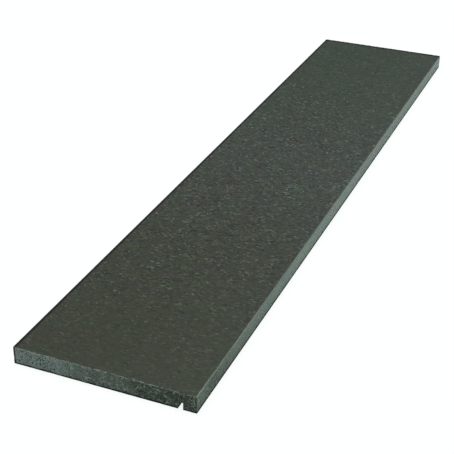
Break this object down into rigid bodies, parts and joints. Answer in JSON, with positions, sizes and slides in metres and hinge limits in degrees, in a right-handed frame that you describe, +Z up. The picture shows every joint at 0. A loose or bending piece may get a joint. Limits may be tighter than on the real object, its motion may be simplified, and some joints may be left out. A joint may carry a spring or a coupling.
{
  "type": "granite window sill",
  "caption": "Flat rectangular granite window sill with a honed top, eased front edges, sawn ends and a drip groove along the underside near the front.",
  "frame": {"origin": "middle of the underside's outline, on the bedding face", "axes": "+X along the sill's length, -Y out through the front edge over the wall, +Y to the back edge under the window frame, +Z up through the honed top"},
  "size_m": [1, 0.2, 0.02],
  "materials": {
    "granite": "honed top, rubbed front edge, sawn ends, underside and groove"
  },
  "bodies": {
    "root": {"sill": "granite"}
  },
  "joints": []
}
